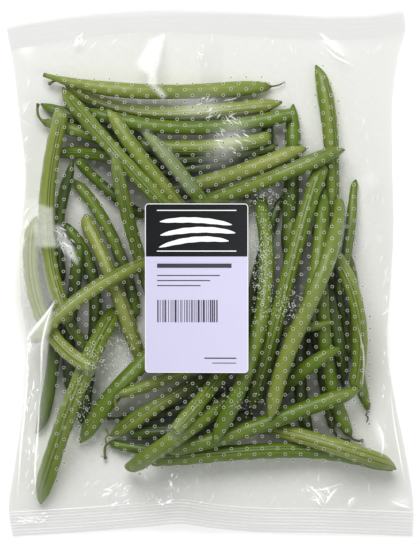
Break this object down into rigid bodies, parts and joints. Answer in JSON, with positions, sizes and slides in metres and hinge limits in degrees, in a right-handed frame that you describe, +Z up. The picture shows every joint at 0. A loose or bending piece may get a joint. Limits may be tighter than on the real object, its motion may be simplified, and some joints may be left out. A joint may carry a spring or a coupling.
{
  "type": "green bean bundle in a film bag",
  "caption": "Long slim green bean pods heaped loosely in a flat clear film bag with pinpoint vents, crimped seals at both ends and a front label, lying on its back",
  "frame": {"origin": "centre of the bag's outline, on the surface that it lies on", "axes": "+Z up, out of the label; +Y towards the top seal; +X to the right as the label is looked at"},
  "size_m": [0.2124, 0.276, 0.0499],
  "materials": {
    "film": "clear thin film with fine wrinkles and rows of pinpoint vents",
    "label": "smooth pale lavender sticker with a dark band across its top",
    "pod": "waxy mid green skin with a faint bloom, paler along the seam"
  },
  "bodies": {
    "root": {"bag": "film", "bean_01": "pod", "bean_02": "pod", "bean_03": "pod", "bean_04": "pod", "bean_05": "pod", "bean_06": "pod", "bean_07": "pod", "bean_08": "pod", "bean_09": "pod", "bean_10": "pod", "bean_11": "pod", "bean_12": "pod", "bean_13": "pod", "bean_14": "pod", "bean_15": "pod", "bean_16": "pod", "bean_17": "pod", "bean_18": "pod", "bean_19": "pod", "bean_20": "pod", "bean_21": "pod", "bean_22": "pod", "bean_23": "pod", "bean_24": "pod", "bean_25": "pod", "bean_26": "pod", "bean_27": "pod", "bean_28": "pod", "bean_29": "pod", "bean_30": "pod", "bean_31": "pod", "bean_32": "pod", "bean_33": "pod", "bean_34": "pod", "bean_35": "pod", "bean_36": "pod", "bean_37": "pod", "bean_38": "pod", "bean_39": "pod", "bean_40": "pod", "bean_41": "pod", "bean_42": "pod", "bean_43": "pod", "bean_44": "pod", "bean_45": "pod", "bean_46": "pod", "bean_47": "pod", "bean_48": "pod", "bean_49": "pod", "bean_50": "pod", "bean_51": "pod", "bean_52": "pod", "bean_53": "pod", "bean_54": "pod", "bean_55": "pod", "bean_56": "pod", "bean_57": "pod", "bean_58": "pod", "label": "label"}
  },
  "joints": []
}
